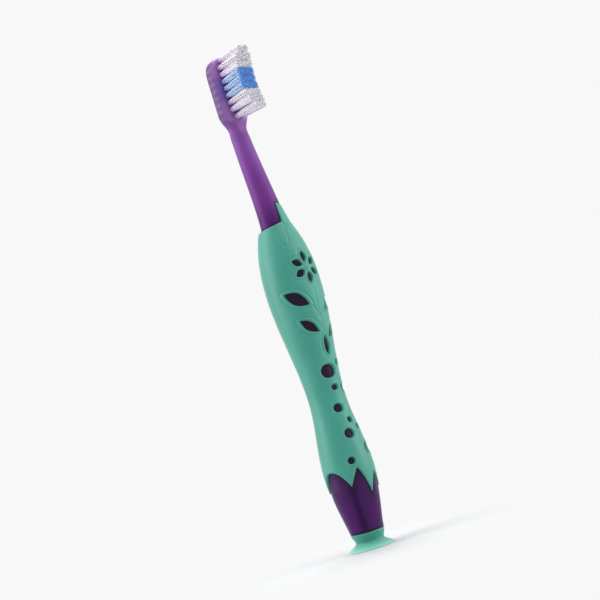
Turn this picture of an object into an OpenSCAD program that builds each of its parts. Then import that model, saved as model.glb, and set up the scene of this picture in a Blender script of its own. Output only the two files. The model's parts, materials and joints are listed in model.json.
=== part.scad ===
// Child's manual toothbrush with a soft grip sleeve and a suction foot.
// The brush stands on its foot: +Z runs up the handle to the head, the bristles face -Y,
// and the origin is the centre of the foot's rim, in the plane that it rests on.

/* [Lengths] */
// Height of the grip sleeve's top edge above the rim of the foot
handle_l = 101.8; // [92:0.1:116]
// Length of the bare neck between the sleeve and the head's plate
neck_l = 32.8; // [28:0.1:40]
// Length of the head's plate
head_l = 23.4; // [22.6:0.1:27]

/* [Head] */
// Width of the head's plate
head_w = 9.8; // [9:0.1:12]
// Thickness of the head's plate
head_t = 4.6; // [4.4:0.1:5.6]
// How far the plate's middle lies behind the handle's axis
head_back = 3.3; // [1.5:0.1:4]
// Corner radius along the plate's edges
head_edge_r = 1.5; // [0.8:0.1:1.9]

/* [Tufts] */
// Diameter of one tuft where it leaves the plate
tuft_d = 1.6; // [1.3:0.05:1.7]
// Height of the bristles at the middle of the head
tuft_h = 9.2; // [7:0.1:11]
// How much longer the bristles are at the toe
toe_rise = 1.7; // [0:0.1:2.5]
// How much longer the bristles are at the heel
heel_rise = 2.2; // [0:0.1:2.5]
// Distance between rows of tufts
row_pitch = 2.28; // [2.1:0.02:2.4]
// Distance between tufts in one row
column_pitch = 2.1; // [2:0.02:2.4]
// Depth of a tuft's hole
hole_depth = 3.1; // [2.7:0.1:3.3]
// Diameter of one bristle strand
strand_d = 0.27; // [0.2:0.01:0.3]

/* [Neck] */
// Diameter of the neck just below the head
neck_d = 6.0; // [5:0.1:7]
// Diameter of the neck where it leaves the sleeve
neck_base_d = 8.7; // [8:0.1:10]

/* [Grip sleeve] */
// Wall of the sleeve
grip_t = 0.8; // [0.5:0.05:1.1]
// Largest diameter of the upper bulge
belly_d = 17.6; // [16.4:0.1:20]
// Smallest diameter, between the bulges
waist_d = 11.6; // [11:0.1:13]
// Largest diameter of the lower bulge
swell_d = 15.9; // [15:0.1:18.5]
// How much higher the sleeve's top edge is at the front than at the back
top_slant = 1.5; // [0:0.1:2]
// Length of the tongue that the sleeve sends up the neck, from the front round to one side
tongue_l = 6.2; // [4:0.1:8]
// Height of the arches along the lower edge, above the tip of the front point
arch_h = 8.6; // [6:0.1:10]

/* [Windows in the sleeve] */
// Height of the largest round window
spot_d = 4.1; // [2.6:0.1:4.2]
// Length of a large leaf-shaped window
leaf_l = 8.4; // [6:0.1:9]
// Width of a large leaf-shaped window
leaf_w = 3.8; // [2.4:0.1:4]
// Length of one petal-shaped window
petal_l = 3.3; // [2.4:0.1:3.6]
// Width of one petal-shaped window
petal_w = 2.1; // [1.4:0.1:2.3]
// Distance from the blossom's centre to the middle of a petal
petal_ring_r = 3.3; // [3:0.1:3.8]

/* [Suction foot] */
// Diameter of the foot's rim
foot_d = 14.4; // [13:0.1:18]
// Height of the whole foot
foot_h = 5.1; // [4.9:0.1:7]
// Height of the flared cup under the collar
flare_h = 2.2; // [2:0.1:3]
// Diameter of the collar where it meets the tail
collar_d = 10.5; // [9.4:0.1:11]
// Diameter of the narrowest place, between collar and cup
throat_d = 8.8; // [8.2:0.1:9.2]
// Thickness of the rim's edge
rim_t = 0.35; // [0.25:0.05:0.6]
// Width of the flat ring that the foot rests on
rim_w = 0.45; // [0.3:0.05:0.8]
// Depth of the hollow under the cup
hollow_h = 1.4; // [1:0.1:1.5]

/* [Hidden] */
$fn = 64;

// Heights on the axis
heel_z = handle_l + neck_l;
brush_l = heel_z + head_l;
tail_z = foot_h;

// Bulges of the handle, as shares of the height of the sleeve's top edge
swell_share = 0.235;
waist_share = 0.46;
belly_share = 0.8;
front_point_share = 0.16;
swell_z = handle_l * swell_share;
waist_z = handle_l * waist_share;
belly_z = handle_l * belly_share;
front_point_z = handle_l * front_point_share;
shoulder_drop = 2;
shoulder_power = 2.4;
tail_power = 1.4;
profile_steps = 14;

// How much thinner the sleeve's wall is along its lower edge
edge_thin_share = 0.6;

// The neck leans back over its length, part straight and part eased, and starts inside the core
bend_ease_share = 0.5;
neck_power = 0.75;
neck_root = 6;

// The head's plate
heel_blend = 4;
plate_lead = 0.5;
plate_grow = 6;
toe_l = 6.5;
toe_power = 2.5;
toe_round = 0.5;
toe_end_share = 0.3;
ring_corner_steps = 7;
neck_steps = 12;
heel_steps = 5;
plate_steps = 6;
toe_steps = 8;
round_share = 0.96;

// Rows of tufts from the toe to the heel, with the number in each and where the coloured ones are
row_counts = [2, 3, 3, 3, 3, 3, 3, 3, 2];
row_spread_shares = [1, 0.97, 1, 1, 1, 1, 1, 0.95, 1];
coloured_rows = [4, 5, 6];
names_in_two = ["left", "right"];
names_in_three = ["left", "middle", "right"];
toe_margin = 1.4;
strand_count = 16;
strand_sides = 3;
strand_seat = 0.4;
strand_turn = 137.508;
tuft_flare_share = 1.27;
hole_clearance = 0.02;

// The flat wire that holds each tuft down in its hole
anchor_w = 2.0;
anchor_h = 1.3;
anchor_t = 0.3;
anchor_turn = 45;
fold_t = 0.35;

// Round windows: height as a share of handle_l, angle from the front, how high each is as a share of
// spot_d, and how wide it is as a share of its height
spot_shares = [
    [0.535, -14, 1, 1.2], [0.556, 32, 0.42, 1.5], [0.484, -8, 0.42, 1.3], [0.477, 38, 0.71, 1.45],
    [0.422, -18, 0.63, 1.2], [0.380, 6, 0.37, 1.3], [0.355, 32, 0.42, 1.5], [0.342, -13, 0.68, 1.15],
    [0.287, 36, 0.92, 1.35], [0.264, -31, 0.51, 1.1]
];

// Leaf windows: height share, angle from the front, tilt, length share, width share
leaf_shares = [
    [0.762, -43, -34, 1, 1], [0.735, 40, 34, 0.85, 0.9],
    [0.676, -32, -40, 0.8, 0.75], [0.652, 32, 44, 0.7, 0.7],
    [0.611, 0, 90, 0.72, 0.5]
];
leaf_steps = 10;
leaf_power = 0.85;
blossom_share = 0.85;
petal_count = 6;

// Points along the lower edge: angle from the front, height above the front point as a share of arch_h,
// and for the arch that follows, its height share and how pointed it is
edge_shares = [
    [0, 0, 0.67, 1.35], [47, 0.1, 0.9, 2.2], [130, 0.3, 0.85, 2.2], [230, 0.27, 1, 2.2],
    [313, 0.37, 0.95, 1.35], [360, 0, 0, 1]
];
edge_steps = 90;
slant_share = 0.63;
slant_angle = 135;

// Angles at which the tongue starts, is full, begins to fall and ends, and how it thins and leans to its tip
tongue_angles = [-8, 0, 52, 112];
tongue_thin_share = 0.75;
tongue_lean_share = 0.6;

// How strongly the foot's cup sweeps in above its rim
flare_power = 1.25;

// The pin on which the foot is moulded
pin_r = 2.0;
pin_head_r = 2.9;
pin_head_h = 0.9;
pin_floor = 0.9;

// How far cutters run past what they cut
overrun = 1;

function clamp(t) = min(1, max(0, t));
function smooth(t) = let (c = clamp(t)) c * c * (3 - 2 * c);
function mix(a, b, t) = a + (b - a) * t;
function span(z, from, to) = (z - from) / (to - from);

// The sleeve's wall, thinner where its lower edge lies nearly flush with the tail
function wall(z) = grip_t * (1 - edge_thin_share
    * smooth(span(z, tail_z, front_point_z)) * smooth(span(z, swell_z, front_point_z)));

// Radius of the sleeve's outside along the handle, and of the core within it and below it
function tail_r(z) = let (t = clamp(span(z, tail_z, swell_z)))
    mix(collar_d / 2 + grip_t, swell_d / 2, 1 - pow(1 - t, tail_power));
function top_r() = neck_base_d / 2 + grip_t;
function sleeve_r(z) =
    z <= swell_z ? tail_r(z)
    : z <= waist_z ? mix(swell_d / 2, waist_d / 2, smooth(span(z, swell_z, waist_z)))
    : z <= belly_z ? mix(waist_d / 2, belly_d / 2, smooth(span(z, waist_z, belly_z)))
    : z <= handle_l ? mix(belly_d / 2, top_r(), pow(span(z, belly_z, handle_l), shoulder_power))
    : neck_r(z) - tongue_lean_share * neck_y(z)
        + grip_t * (1 - tongue_thin_share * clamp(span(z, handle_l, handle_l + tongue_l)));
function core_r(z) = sleeve_r(z) - wall(z);

// The neck's radius and how far it has bent back, at a height
function neck_r(z) = let (t = clamp(span(z, handle_l, heel_z - heel_blend)))
    mix(neck_base_d / 2, neck_d / 2, pow(t, neck_power));
function neck_y(z) = let (t = clamp(span(z, handle_l, heel_z)))
    head_back * mix(t, smooth(t), bend_ease_share);

// The head's plate: half width and half depth, and its flat front face
face_y = head_back - head_t / 2;
function towards_end(z, l) = clamp(span(z, brush_l - l, brush_l)) * (1 - toe_end_share * toe_end_share);
function toe_narrow(z) = pow(1 - pow(towards_end(z, toe_l), toe_power), 1 / toe_power);
function widen(z) = smooth(span(z, heel_z - plate_lead, heel_z - plate_lead + plate_grow));
function plate_half_w(z) = mix(neck_r(z), head_w / 2, widen(z)) * toe_narrow(z);
function end_round(z) = 1 - sqrt(1 - pow(towards_end(z, head_t / 2), 2));
function into_plate(z) = smooth(span(z, heel_z - heel_blend, heel_z));
function plate_front(z) = mix(neck_y(z) - neck_r(z), face_y, into_plate(z)) + toe_round * end_round(z);
function plate_back(z) =
    mix(neck_y(z) + neck_r(z), head_back + head_t / 2, into_plate(z)) - head_t / 2 * end_round(z);
function corner_r(z, half_w, half_d) =
    min(half_w * round_share, half_d * round_share,
        mix(half_w, head_edge_r, smooth(span(z, heel_z - heel_blend, heel_z + heel_blend))));

// One ring of the neck and head: a rectangle with round corners, from its width, front and back
function ring(z) = let (
    half_w = plate_half_w(z),
    half_d = (plate_back(z) - plate_front(z)) / 2,
    mid = (plate_back(z) + plate_front(z)) / 2,
    r = corner_r(z, half_w, half_d)
) [for (q = [0:3]) for (i = [0:ring_corner_steps]) let (
    a = 90 * (q + i / ring_corner_steps),
    sx = (q == 0 || q == 3) ? 1 : -1,
    sy = q < 2 ? 1 : -1
) [sx * (half_w - r) + r * cos(a), mid + sy * (half_d - r) + r * sin(a), z]];

// Heights from one end up to but without the other, in equal steps or closer together near the end
function steps(from, to, n, closer) = [for (i = [0:n - 1]) mix(from, to, closer ? sin(90 * i / n) : i / n)];
ring_zs = concat(
    steps(handle_l - neck_root, heel_z - heel_blend, neck_steps, false),
    steps(heel_z - heel_blend, heel_z, heel_steps, false),
    steps(heel_z, brush_l - toe_l, plate_steps, false),
    steps(brush_l - toe_l, brush_l, toe_steps, true),
    [brush_l]
);
ring_size = 4 * (ring_corner_steps + 1);

// A closed skin over the rings at the heights given
module skin(zs) {
    n = len(zs);
    points = [for (z = zs) each ring(z)];
    sides = [for (i = [0:n - 2]) for (j = [0:ring_size - 1]) let (
        k = (j + 1) % ring_size,
        a = i * ring_size + j,
        b = i * ring_size + k,
        c = (i + 1) * ring_size + k,
        d = (i + 1) * ring_size + j
    ) each [[a, c, b], [a, d, c]]];
    bottom = [for (j = [0:ring_size - 1]) j];
    top = [for (j = [ring_size - 1:-1:0]) (n - 1) * ring_size + j];
    polyhedron(points = points, faces = concat([bottom], sides, [top]), convexity = 6);
}

module neck_and_head() {
    skin(ring_zs);
}

// The lower end of the neck, long enough to pass through the sleeve's tongue
module neck_in_sleeve() {
    skin([for (z = ring_zs) if (z <= edge_top + overrun + neck_l / neck_steps) z]);
}

function curve(from, to, n) = [for (i = [0:n]) mix(from, to, i / n)];
core_zs = concat(
    curve(tail_z, swell_z, profile_steps),
    curve(swell_z, waist_z, profile_steps),
    curve(waist_z, belly_z, profile_steps),
    curve(belly_z, handle_l - shoulder_drop, profile_steps)
);

// Heights with none given twice, because the curves above share their ends
function once(zs) = [for (i = [0:len(zs) - 1]) if (i == 0 || zs[i] > zs[i - 1]) zs[i]];

module core_turned() {
    rotate_extrude()
        polygon(concat(
            [[0, tail_z]],
            [for (z = once(core_zs)) [core_r(z), z]],
            [[0, handle_l - shoulder_drop]]
        ));
}

module pin() {
    pin_z = hollow_h + pin_floor;
    rotate_extrude()
        polygon([
            [0, pin_z], [pin_head_r - pin_head_h / 2, pin_z], [pin_head_r, pin_z + pin_head_h / 2],
            [pin_head_r, pin_z + pin_head_h], [pin_r, pin_z + pin_head_h + (pin_head_r - pin_r) / 2],
            [pin_r, tail_z], [0, tail_z]
        ]);
}

// The pin with a run past the tail's end face, for joining to the core
module pin_to_core() {
    pin();
    translate([0, 0, tail_z - pin_head_h / 2])
        cylinder(r = pin_r, h = pin_head_h);
}

// Tufts: each is [row, name of its place in the row, x, z]
first_row_z = brush_l - toe_margin;
tufts = [for (r = [0:len(row_counts) - 1]) let (
    n = row_counts[r],
    names = n == 2 ? names_in_two : names_in_three
) for (i = [0:n - 1]) [
    r + 1, names[i], (i - (n - 1) / 2) * column_pitch * row_spread_shares[r], first_row_z - r * row_pitch
]];
function tuft_name(t) = str("tuft_row_0", t[0], "_", t[1]);

// The trimmed length of a tuft at a height: shortest at the middle row
rows_half = row_pitch * (len(row_counts) - 1) / 2;
rows_mid = first_row_z - rows_half;
function trim(z) = let (u = (z - rows_mid) / rows_half) tuft_h + (u > 0 ? toe_rise : heel_rise) * u * u;

module along_front(t) {
    translate([t[2], face_y, t[3]])
        rotate([90, 0, 0])
            children();
}

// A tuft's hole, from in front of the plate to its blind end
module tuft_hole(t) {
    along_front(t)
        translate([0, 0, -hole_depth])
            cylinder(d = tuft_d + 2 * hole_clearance, h = hole_depth + overrun);
}

module anchor(t) {
    along_front(t)
        rotate([0, 0, anchor_turn])
            translate([-anchor_w / 2, -anchor_t / 2, -hole_depth + fold_t])
                cube([anchor_w, anchor_t, anchor_h]);
}

// A straight strand between two points, inside its tuft's own frame
module strand(from, to) {
    d = to - from;
    translate(from)
        rotate([0, acos(d[2] / norm(d)), atan2(d[1], d[0])])
            cylinder(d = strand_d, h = norm(d), $fn = strand_sides);
}

module tuft(t) {
    root_r = tuft_d / 2 - strand_d / 2;
    color(len(search(t[0], coloured_rows)) > 0 ? "cornflowerblue" : "whitesmoke")
        difference() {
            along_front(t)
                union() {
                    translate([0, 0, -hole_depth + hole_clearance])
                        cylinder(d = tuft_d, h = hole_depth - hole_clearance);
                    for (i = [0:strand_count - 1]) {
                        r = root_r * sqrt((i + 0.5) / strand_count);
                        a = i * strand_turn;
                        strand(
                            [r * cos(a), r * sin(a), -strand_seat],
                            [r * tuft_flare_share * cos(a), r * tuft_flare_share * sin(a), trim(t[3])]
                        );
                    }
                }
            anchor(t);
        }
}

module handle_core() {
    color("rebeccapurple")
        difference() {
            union() {
                core_turned();
                pin_to_core();
                neck_and_head();
            }
            for (t = tufts) {
                tuft_hole(t);
                anchor(t);
            }
        }
}

module tuft_anchors() {
    color("silver")
        for (t = tufts)
            anchor(t);
}

// Turns a flat outline to face outwards at an angle from the front and a height
module facing(angle, z) {
    rotate([0, 0, angle])
        translate([0, 0, z])
            rotate([90, 0, 0])
                linear_extrude(height = belly_d)
                    children();
}

// A leaf-shaped outline, pointed at both ends, along +X
module leaf(l, w) {
    side = [for (i = [0:leaf_steps]) let (t = i / leaf_steps)
        [l * (t - 0.5), w / 2 * pow(sin(180 * t), leaf_power)]];
    polygon(concat(side, [for (i = [leaf_steps - 1:-1:1]) [side[i][0], -side[i][1]]]));
}

// A window of two half circles with a straight piece between them, from inside the grip to outside it
module spot(d, width_share) {
    shift = d * (width_share - 1) / 2;
    for (side = [-1, 1])
        translate([side * shift, 0, 0])
            cylinder(d = d, h = belly_d);
    translate([-shift, -d / 2, 0])
        cube([2 * shift, d, belly_d]);
}

module windows() {
    for (s = spot_shares)
        rotate([0, 0, s[1]])
            translate([0, 0, handle_l * s[0]])
                rotate([90, 0, 0])
                    spot(spot_d * s[2], s[3]);
    for (s = leaf_shares)
        facing(s[1], handle_l * s[0])
            rotate([0, 0, s[2]])
                leaf(leaf_l * s[3], leaf_w * s[4]);
    for (i = [0:petal_count - 1])
        facing(0, handle_l * blossom_share)
            rotate([0, 0, 90 + 360 * i / petal_count])
                translate([petal_ring_r, 0])
                    leaf(petal_l, petal_w);
}

// Height of the sleeve's lower edge at an angle from the front
function low_edge(a) = let (
    i = [for (k = [0:len(edge_shares) - 2]) if (a <= edge_shares[k + 1][0]) k][0],
    p = edge_shares[i],
    q = edge_shares[i + 1],
    t = span(a, p[0], q[0]),
    base = mix(p[1], q[1], t)
) front_point_z + arch_h * (base + (p[2] - base) * (1 - pow(abs(2 * t - 1), p[3])));

// Height of its upper edge, which rises to the front and then up into the tongue
function high_edge(a) = let (
    s = a > 180 ? a - 360 : a,
    slant = pow(1 - clamp(abs(s) / slant_angle), 2) - slant_share,
    near = clamp(span(s, tongue_angles[0], tongue_angles[1])),
    far = smooth(span(s, tongue_angles[3], tongue_angles[2]))
) handle_l + top_slant * slant + tongue_l * min(near, far);
edge_top = handle_l + top_slant + tongue_l + overrun;

// A ring-shaped cutter between two edges, each a list of heights for equal turns from the front
module crown(lows, highs) {
    n = len(lows);
    // From well inside the neck to well outside the sleeve
    inner = neck_d / 4;
    outer = belly_d;
    function at(i, r, z) = let (a = 360 * i / n - 90) [r * cos(a), r * sin(a), z];
    points = [for (i = [0:n - 1]) each [
        at(i, inner, lows[i]), at(i, outer, lows[i]), at(i, outer, highs[i]), at(i, inner, highs[i])
    ]];
    faces = [for (i = [0:n - 1]) for (k = [0:3]) let (
        a = 4 * i + k,
        b = 4 * i + (k + 1) % 4,
        c = 4 * ((i + 1) % n) + (k + 1) % 4,
        d = 4 * ((i + 1) % n) + k
    ) each [[a, b, c], [a, c, d]]];
    polyhedron(points = points, faces = faces, convexity = 8);
}

module below_sleeve() {
    lows = [for (i = [0:edge_steps - 1]) 0];
    crown(lows, [for (i = [0:edge_steps - 1]) low_edge(360 * i / edge_steps)]);
}

module above_sleeve() {
    highs = [for (i = [0:edge_steps - 1]) edge_top + overrun];
    crown([for (i = [0:edge_steps - 1]) high_edge(360 * i / edge_steps)], highs);
}

sleeve_zs = concat(
    [front_point_z - overrun],
    curve(front_point_z, swell_z, profile_steps),
    curve(swell_z, waist_z, profile_steps),
    curve(waist_z, belly_z, profile_steps),
    curve(belly_z, handle_l, profile_steps),
    curve(handle_l, edge_top, profile_steps)
);

module grip_sleeve() {
    color("mediumaquamarine")
        difference() {
            rotate_extrude()
                polygon(concat(
                    [[0, sleeve_zs[0]]],
                    [for (z = once(sleeve_zs)) [sleeve_r(z), z]],
                    [[0, sleeve_zs[len(sleeve_zs) - 1]]]
                ));
            core_turned();
            neck_in_sleeve();
            below_sleeve();
            above_sleeve();
            windows();
        }
}

module suction_foot() {
    rim_r = foot_d / 2;
    hollow_r = rim_r - rim_w;
    flare_steps = 8;
    hollow_steps = 12;
    // The cup's outside sweeps from the rim up to the throat, and its hollow is part of an ellipse
    outside = [for (i = [0:flare_steps]) let (t = i / flare_steps)
        [mix(throat_d / 2, rim_r, pow(1 - t, flare_power)), mix(rim_t, flare_h, t)]];
    hollow = [for (i = [0:hollow_steps]) let (a = 90 * i / hollow_steps)
        [hollow_r * sin(a), hollow_h * cos(a)]];
    color("mediumaquamarine")
        difference() {
            rotate_extrude()
                polygon(concat(hollow, [[rim_r, 0]], outside, [[collar_d / 2, foot_h], [0, foot_h]]));
            pin();
        }
}

handle_core();
grip_sleeve();
suction_foot();
tuft_anchors();
for (t = tufts)
    tuft(t);
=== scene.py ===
import bpy
import bmesh
import json
import math
import random
import numpy as np
from mathutils import Matrix, Vector

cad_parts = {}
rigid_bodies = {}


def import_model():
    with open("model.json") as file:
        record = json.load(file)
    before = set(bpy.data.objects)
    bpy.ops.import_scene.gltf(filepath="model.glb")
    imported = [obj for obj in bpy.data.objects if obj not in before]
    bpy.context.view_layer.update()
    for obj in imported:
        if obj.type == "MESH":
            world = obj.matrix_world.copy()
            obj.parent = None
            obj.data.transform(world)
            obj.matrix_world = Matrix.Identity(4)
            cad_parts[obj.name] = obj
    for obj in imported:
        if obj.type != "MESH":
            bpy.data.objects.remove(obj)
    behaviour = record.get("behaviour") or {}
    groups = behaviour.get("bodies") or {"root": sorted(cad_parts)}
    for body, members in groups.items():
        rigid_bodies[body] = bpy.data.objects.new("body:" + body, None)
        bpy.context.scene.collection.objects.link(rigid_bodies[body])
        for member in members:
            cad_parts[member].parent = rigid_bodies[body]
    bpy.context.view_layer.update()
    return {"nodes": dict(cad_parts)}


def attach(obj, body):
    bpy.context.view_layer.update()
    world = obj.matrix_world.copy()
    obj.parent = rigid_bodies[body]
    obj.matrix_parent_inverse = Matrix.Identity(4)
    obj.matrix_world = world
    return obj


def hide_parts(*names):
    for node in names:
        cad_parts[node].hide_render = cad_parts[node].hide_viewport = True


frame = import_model()
mm = 0.001
farAway = 99.0  # stands for a distance out of reach, in millimetres
brushScene = bpy.context.scene
brushScene.view_settings.view_transform = "Standard"


def clamp(t):
    return np.minimum(1, np.maximum(0, t))


def smooth(t):
    t = clamp(t)
    return t * t * (3 - 2 * t)


def mix(a, b, t):
    return a + (b - a) * t


def span(z, start, end):
    return (z - start) / (end - start)


def spread(start, end, count):  # even steps without the last one
    return [mix(start, end, i / count) for i in range(count)]


def stepped(a, b, steps):  # a place moved by each of some small steps
    return [(a + da, b + db) for da, db in steps]


def makePiece(name, bm, material, replaced=()):
    # A finished bmesh, still in millimetres, becomes a piece that rides on the brush
    bmesh.ops.scale(bm, vec=(mm, mm, mm), verts=bm.verts)
    mesh = bpy.data.meshes.new(name)
    for face in bm.faces:
        face.smooth = True
    bm.to_mesh(mesh)
    bm.free()
    piece = bpy.data.objects.new(name, mesh)
    brushScene.collection.objects.link(piece)
    mesh.materials.append(material)
    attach(piece, "root")
    if replaced:
        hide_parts(*replaced)
    return piece


def numbered(bm):
    # Operators may renumber vertices, so each keeps its own number in a layer
    number = bm.verts.layers.int.get("number") or bm.verts.layers.int.new("number")
    for i, v in enumerate(bm.verts):
        v[number] = i
    return number


def gridNumbered(across, along):
    # A flat grid, with the column and row of each numbered vertex
    bm = bmesh.new()
    bmesh.ops.create_grid(bm, x_segments=across, y_segments=along, size=1)
    number = numbered(bm)
    cells = [(round((v.co.x + 1) / 2 * across), round((v.co.y + 1) / 2 * along)) for v in bm.verts]
    return bm, number, cells


def closeSeam(bm, gap=0.004):
    bmesh.ops.remove_doubles(bm, verts=bm.verts, dist=gap)
    bmesh.ops.recalc_face_normals(bm, faces=bm.faces)


def openEdges(bm):
    return [e for e in bm.edges if e.is_boundary]


def pulledWalls(bm):
    # Walls pulled from every open edge, given as the vertices of their far side
    walls = bmesh.ops.extrude_edge_only(bm, edges=openEdges(bm))["geom"]
    return [g for g in walls if isinstance(g, bmesh.types.BMVert)]


def fromHex(code):
    parts = [int(code[i:i + 2], 16) / 255 for i in (0, 2, 4)]
    return tuple(c / 12.92 if c <= 0.04045 else ((c + 0.055) / 1.055) ** 2.4 for c in parts) + (1,)


def addNode(tree, kind, settings=None, links=None):
    node = tree.nodes.new(kind)
    for key, value in (settings or {}).items():
        if isinstance(key, int) or key in node.inputs:
            node.inputs[key].default_value = value
        else:
            setattr(node, key, value)
    for key, socket in (links or {}).items():
        tree.links.new(socket, node.inputs[key])
    return node


def newMaterial(name):
    material = bpy.data.materials.new(name)
    material.use_nodes = True
    material.node_tree.nodes.clear()
    return material, material.node_tree


def rampOf(tree, factor, stops):
    ramp = addNode(tree, "ShaderNodeValToRGB", links={"Fac": factor})
    elements = ramp.color_ramp.elements
    while len(elements) < len(stops):
        elements.new(0.5)
    for element, (place, code) in zip(elements, stops):
        element.position = place
        element.color = fromHex(code)
    return ramp.outputs["Color"]


def grain(tree, size, detail=2.0, stretch=(1, 1, 1)):
    # Noise whose features are about size millimetres across
    coordinates = addNode(tree, "ShaderNodeTexCoord")
    mapping = addNode(tree, "ShaderNodeMapping", {"Scale": tuple(s / (size * mm) for s in stretch)},
                      {"Vector": coordinates.outputs["Object"]})
    noise = addNode(tree, "ShaderNodeTexNoise", {"Scale": 1.0, "Detail": detail},
                    {"Vector": mapping.outputs["Vector"]})
    return noise.outputs["Fac"]


def ranged(tree, value, start, end, low=0.0, high=1.0):
    # A value taken smoothly from one range to another
    node = addNode(tree, "ShaderNodeMapRange", {
        "interpolation_type": "SMOOTHSTEP", "From Min": start, "From Max": end,
        "To Min": low, "To Max": high,
    }, {"Value": value})
    return node.outputs["Result"]


def maths(tree, operation, a, b):
    # One operation on two values, each a number or a socket
    node = addNode(tree, "ShaderNodeMath", {"operation": operation})
    for place, value in enumerate((a, b)):
        if isinstance(value, (int, float)):
            node.inputs[place].default_value = value
        else:
            tree.links.new(value, node.inputs[place])
    return node.outputs[0]


def mixed(tree, factor, a, b):
    node = addNode(tree, "ShaderNodeMix", {"data_type": "RGBA"})
    for socket, value in ((node.inputs[0], factor), (node.inputs[6], a), (node.inputs[7], b)):
        if isinstance(value, str):
            socket.default_value = fromHex(value)
        else:
            tree.links.new(value, socket)
    return node.outputs[2]


plasticSet = dict(
    # colour by height in millimetres: tail, then the core under the sleeve with painted shade where the
    # rubber covers it, then the neck, darker towards the sleeve, and the head
    heights=[(0, "4C1862"), (24.5, "4C1862"), (27, "281430"), (98, "281430"), (100, "4A1464"),
             (104, "58206F"), (109, "6E3183"), (118, "7B3C94"), (130.5, "8A52A4"), (134.5, "9058A8"),
             (138, "7C4894"), (146, "7A448E"), (158, "784288")],
    # the same round the tufts' holes, painted lighter where the tufts shade the face, and blue as a painted
    # show-through where the blue tufts stand, and the height at which both lists end
    roots=[(0, "AA7CC0"), (142.6, "AA7CC0"), (144.4, "866CBE"), (150.6, "866CBE"), (152.2, "AC7EC2"),
           (158, "AC80C4")],
    tallest=160, rootShare=0.85,
    # the head's side, darkened as painted shade against the side lamp, and the painted light bands on it
    # where the rows of tufts show through
    side="6C4C82", band="9A72B2", bandShare=0.45, bandEdge=0.8,
    # in millimetres, where these colours set in: out from the middle, below the last row of tufts, and
    # in from the face of the head
    sideZone=(3.4, 4.5), headZone=(2.2, 0.4), rootZone=(1.4, 0.3), bandZone=(4.5, 3.0),
    # painted shade in the tail's creases and along the rubber's edges, and the colour of the light that
    # goes right through
    crease="2A0048", rim="1C1428", clear="C08AE0", seeThrough=0.08,
)


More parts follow.
